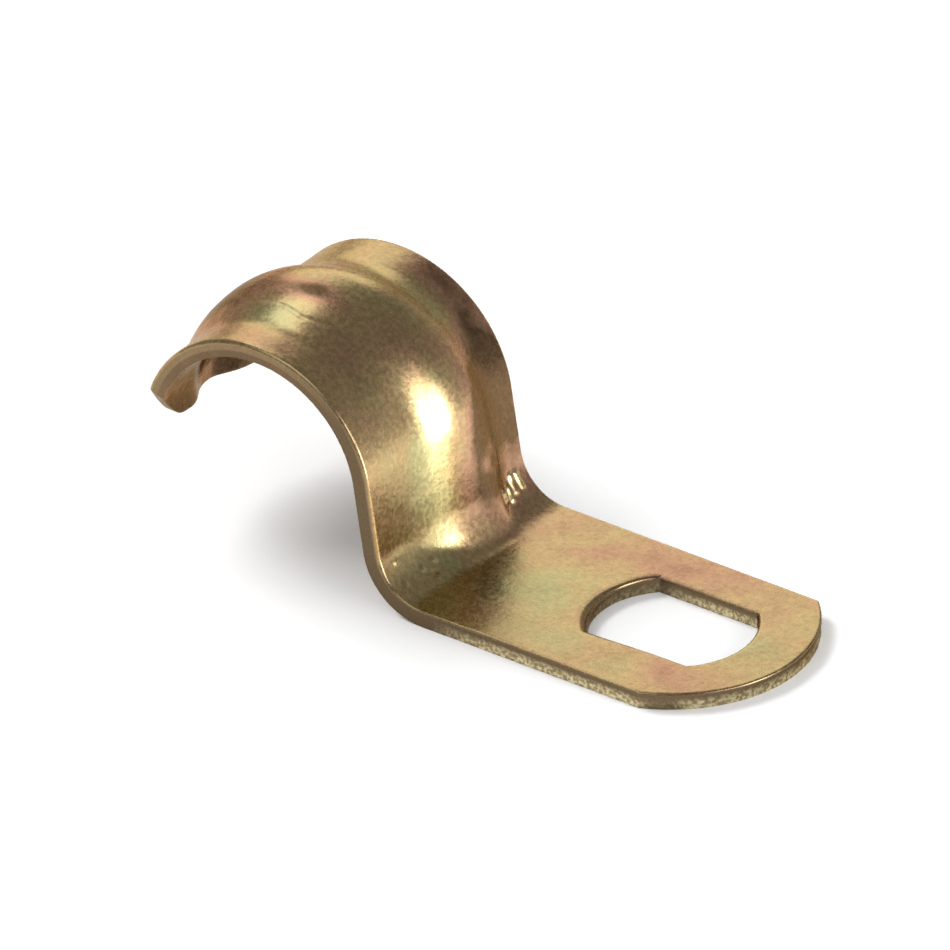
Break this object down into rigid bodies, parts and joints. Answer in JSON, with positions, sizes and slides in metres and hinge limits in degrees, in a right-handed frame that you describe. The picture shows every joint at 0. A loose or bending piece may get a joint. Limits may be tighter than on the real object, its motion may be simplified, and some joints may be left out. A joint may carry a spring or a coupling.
{
  "type": "cable clamp",
  "caption": "One-hole clamp pressed from sheet steel: a ribbed half-round saddle holds a cable against a wall, and a flat lug with a slot takes the fixing.",
  "frame": {"origin": "centre of the fixing slot, on the face that lies against the wall", "axes": "+X along the strap to the lug's end, +Y along the cable, +Z away from the wall"},
  "size_m": [0.0591, 0.0206, 0.0224],
  "materials": {
    "yellow_zinc": "zinc plating with a satin, iridescent yellow passivation"
  },
  "bodies": {
    "root": {"clamp_strap": "yellow_zinc"}
  },
  "joints": []
}
